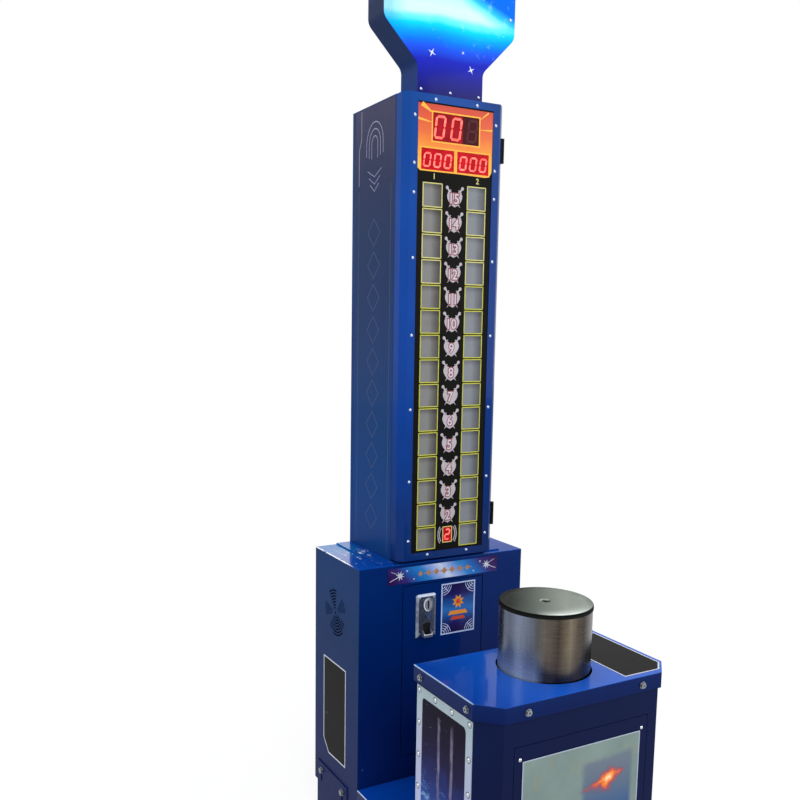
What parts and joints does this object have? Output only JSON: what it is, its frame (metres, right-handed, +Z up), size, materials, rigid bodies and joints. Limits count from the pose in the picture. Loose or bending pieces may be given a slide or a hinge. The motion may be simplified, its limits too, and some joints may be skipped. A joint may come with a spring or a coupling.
{
  "type": "strength tester machine",
  "caption": "Free-standing strength tester: sprung target on a pedestal, coin cabinet, score tower with lit rows and a light box header.",
  "frame": {"origin": "On the floor, below the middle of the machine's bounding box.", "axes": "+X to the right of a player who faces the scoreboard, +Y to the machine's back, +Z up."},
  "size_m": [0.586, 0.9325, 2.505],
  "materials": {
    "chassis_paint": "satin dark blue powder coat",
    "deck_paint": "semi-gloss blue powder coat",
    "body_paint": "gloss blue powder coat",
    "tower_paint": "high gloss blue powder coat",
    "header_paint": "gloss blue powder coat",
    "box_paint": "grey hammer finish",
    "black_steel": "black oxide",
    "disc_paint": "dark grey-green paint, worn",
    "zinc_steel": "zinc plated",
    "stainless": "brushed",
    "machined_steel": "turned and oiled",
    "screw_chrome": "polished",
    "plunger_chrome": "hard chrome, ground",
    "cast_metal": "die cast, satin",
    "psu_metal": "folded sheet",
    "bush_bronze": "sintered bronze",
    "pad_rubber": "matt",
    "bump_rubber": "matt",
    "foot_rubber": "matt pads on steel studs",
    "sign_plastic": "printed, gloss",
    "score_plastic": "printed, gloss",
    "header_plastic": "printed, translucent",
    "picture_plastic": "printed, gloss",
    "button_plastic": "gloss",
    "lamp_plastic": "white moulding",
    "tube_plastic": "white tubes in white holders",
    "board_green": "solder mask",
    "display_plastic": "dark red face",
    "black_plastic": "moulded"
  },
  "bodies": {
    "machine": {"chassis_frame": "chassis_paint", "deck_box": "deck_paint", "levelling_feet": "foot_rubber", "tie_plates": "deck_paint", "frame_bolts": "zinc_steel", "cabinet_left_side": "body_paint", "cabinet_right_side": "body_paint", "cabinet_back": "body_paint", "cabinet_front": "body_paint", "cabinet_top": "body_paint", "cabinet_floor": "chassis_paint", "sign_plate": "sign_plastic", "cash_box": "box_paint", "loudspeaker": "black_plastic", "power_supply": "psu_metal", "control_board": "board_green", "mains_inlet": "black_plastic", "tower_mount_plate": "body_paint", "tower_shell": "tower_paint", "tower_hinge_pins": "black_steel", "header_shell": "header_paint", "header_panel": "header_plastic", "header_lamps": "tube_plastic", "panel_screws": "screw_chrome", "pedestal_left_side": "body_paint", "pedestal_right_side": "body_paint", "pedestal_front": "body_paint", "pedestal_back": "body_paint", "pedestal_lid": "tower_paint", "lid_bolts": "screw_chrome", "front_cover": "body_paint", "side_frames": "stainless", "picture_panes": "picture_plastic", "cover_screws": "screw_chrome", "mechanism_base": "black_steel", "guide_column": "machined_steel", "guide_bushes": "bush_bronze", "bump_stop": "bump_rubber", "return_spring": "machined_steel", "impact_sensor": "black_plastic"},
    "striker": {"strike_disc": "disc_paint", "rubber_pad": "pad_rubber", "drum": "stainless", "plunger_shaft": "plunger_chrome", "plunger_bolts": "machined_steel"},
    "score_door": {"tower_door": "tower_paint", "tower_hinge_barrels": "black_steel", "scoreboard_panel": "score_plastic", "scoreboard_screws": "screw_chrome", "lamp_housing": "lamp_plastic", "lamp_boards": "board_green", "display_modules": "display_plastic"},
    "cash_door": {"coin_door": "body_paint", "coin_face_plate": "cast_metal", "coin_acceptor": "black_plastic", "door_lock": "screw_chrome"},
    "reject_button": {"reject_button": "button_plastic"},
    "return_flap": {"return_flap": "stainless"},
    "lock_cam": {"lock_cam": "zinc_steel"},
    "power_rocker": {"power_rocker": "button_plastic"}
  },
  "joints": [
    {"name": "target_slide", "type": "slide", "parent": "machine", "child": "striker", "axis": [0, 0, -1], "range_m": [0, 0.045], "stiffness_N_per_m": 11000, "springref_m": -0.03, "deforming": ["return_spring"]},
    {"name": "score_door_hinge", "type": "hinge", "parent": "machine", "child": "score_door", "pos_m": [0.1705, 0.1775, 0.937], "axis": [0, 0, 1], "range_deg": [0, 110]},
    {"name": "coin_door_hinge", "type": "hinge", "parent": "machine", "child": "cash_door", "pos_m": [-0.132, 0.1715, 0.268], "axis": [0, 0, -1], "range_deg": [0, 100]},
    {"name": "lock_turn", "type": "hinge", "parent": "cash_door", "child": "lock_cam", "pos_m": [0.112, 0.1845, 0.471], "axis": [0, -1, 0], "range_deg": [0, 90]},
    {"name": "reject_button_slide", "type": "slide", "parent": "cash_door", "child": "reject_button", "axis": [0, 1, 0], "range_m": [0, 0.004], "stiffness_N_per_m": 300, "springref_m": -0.003},
    {"name": "return_flap_hinge", "type": "hinge", "parent": "cash_door", "child": "return_flap", "pos_m": [-0.061, 0.1635, 0.664], "axis": [1, 0, 0], "range_deg": [0, 60]},
    {"name": "power_rocker_hinge", "type": "hinge", "parent": "machine", "child": "power_rocker", "pos_m": [0.2, 0.4575, 0.154], "axis": [-1, 0, 0], "range_deg": [0, 18]}
  ]
}
